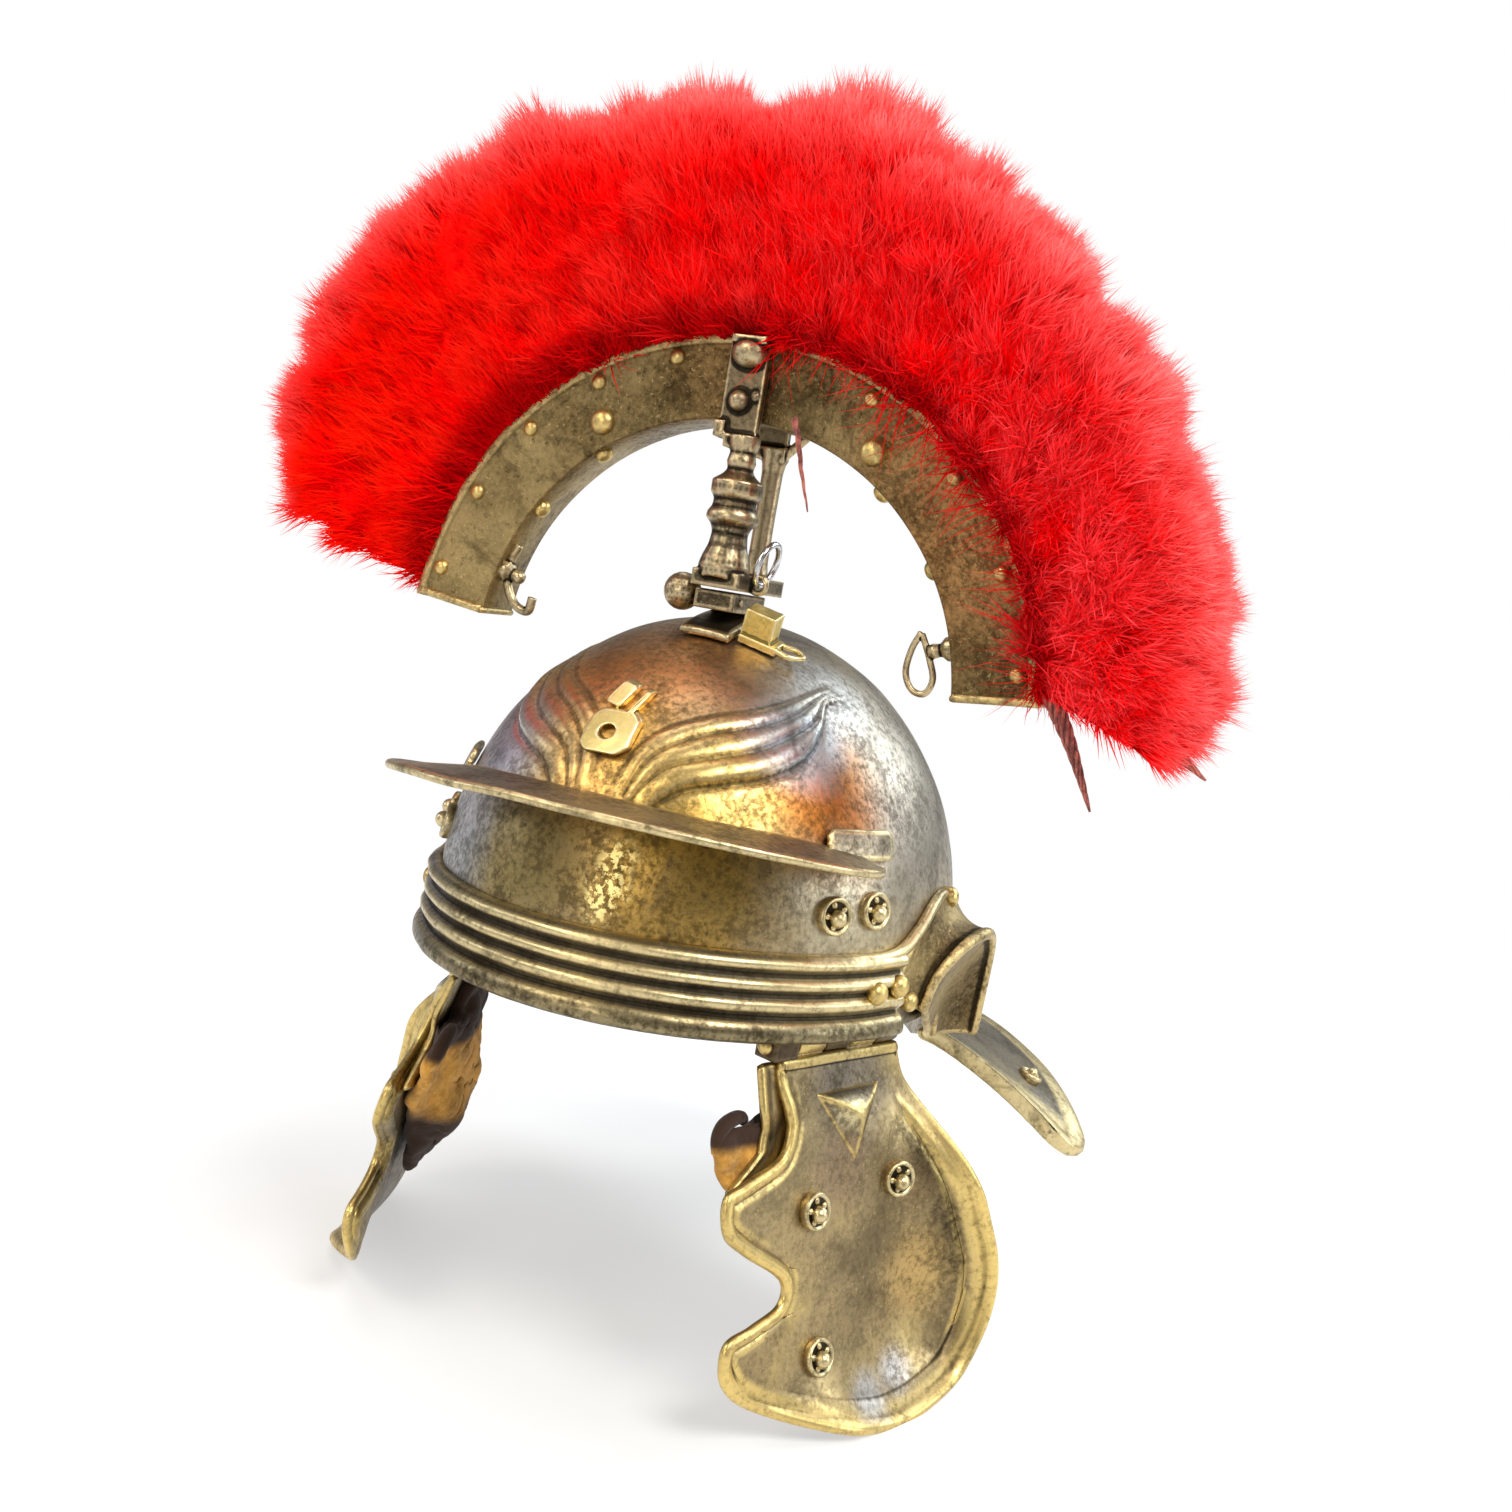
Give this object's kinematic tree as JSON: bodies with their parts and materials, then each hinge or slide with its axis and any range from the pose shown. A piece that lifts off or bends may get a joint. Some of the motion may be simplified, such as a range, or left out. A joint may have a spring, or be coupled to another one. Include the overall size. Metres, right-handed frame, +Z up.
{
  "type": "roman helmet with transverse crest",
  "caption": "One-sixth scale Roman helmet: round brass bowl with brow band, peak, ear hoods, neck guard, hinged suede-lined cheek guards and a red fur crest set across it.",
  "frame": {"origin": "centre of the head opening in the plane of the brow rim", "axes": "+Z up to the crown, -Y the way the face looks, +X to the wearer's left"},
  "size_m": [0.0715, 0.0574, 0.0848],
  "materials": {
    "bowl_brass": "aged brass with a copper and blue-grey heat patina",
    "aged_brass": "aged, scratched, dark in the recesses",
    "bright_brass": "worn bright on the edges",
    "steel_wire": "plain wire",
    "suede": "napped suede",
    "red_fur": "deep fluffy pile"
  },
  "bodies": {
    "shell": {"bowl": "bowl_brass", "brow_band": "aged_brass", "peak": "bright_brass", "neck_guard": "aged_brass", "brow_medallion": "bright_brass", "crown_plate": "aged_brass", "crest_fork": "aged_brass", "lock_pin": "aged_brass", "lock_ring": "steel_wire", "keeper": "bright_brass", "crest_box": "aged_brass", "crest_plume": "red_fur", "crest_end_hook": "aged_brass", "crest_end_loop": "aged_brass", "left_ear_guard": "aged_brass", "left_hinge_leaf": "aged_brass", "left_hinge_pin": "aged_brass", "left_temple_rosette_1": "bright_brass", "left_temple_rosette_2": "bright_brass", "left_neck_rosette": "bright_brass", "right_ear_guard": "aged_brass", "right_hinge_leaf": "aged_brass", "right_hinge_pin": "aged_brass", "right_temple_rosette_1": "bright_brass", "right_temple_rosette_2": "bright_brass", "right_neck_rosette": "bright_brass"},
    "left_cheek": {"left_cheek_guard": "aged_brass", "left_cheek_lining": "suede", "left_cheek_boss": "aged_brass", "left_cheek_rosette_1": "bright_brass", "left_cheek_rosette_2": "bright_brass", "left_cheek_rosette_3": "bright_brass"},
    "right_cheek": {"right_cheek_guard": "aged_brass", "right_cheek_lining": "suede", "right_cheek_boss": "aged_brass", "right_cheek_rosette_1": "bright_brass", "right_cheek_rosette_2": "bright_brass", "right_cheek_rosette_3": "bright_brass"}
  },
  "joints": [
    {"name": "left_cheek_hinge", "type": "hinge", "parent": "shell", "child": "left_cheek", "pos_m": [0.0136, -0.00705, -0.0011], "axis": [-0.3554, -0.9347, 0], "range_deg": [-18, 62]},
    {"name": "right_cheek_hinge", "type": "hinge", "parent": "shell", "child": "right_cheek", "pos_m": [-0.0136, -0.00705, -0.0011], "axis": [-0.3554, 0.9347, 0], "range_deg": [-18, 62]}
  ]
}
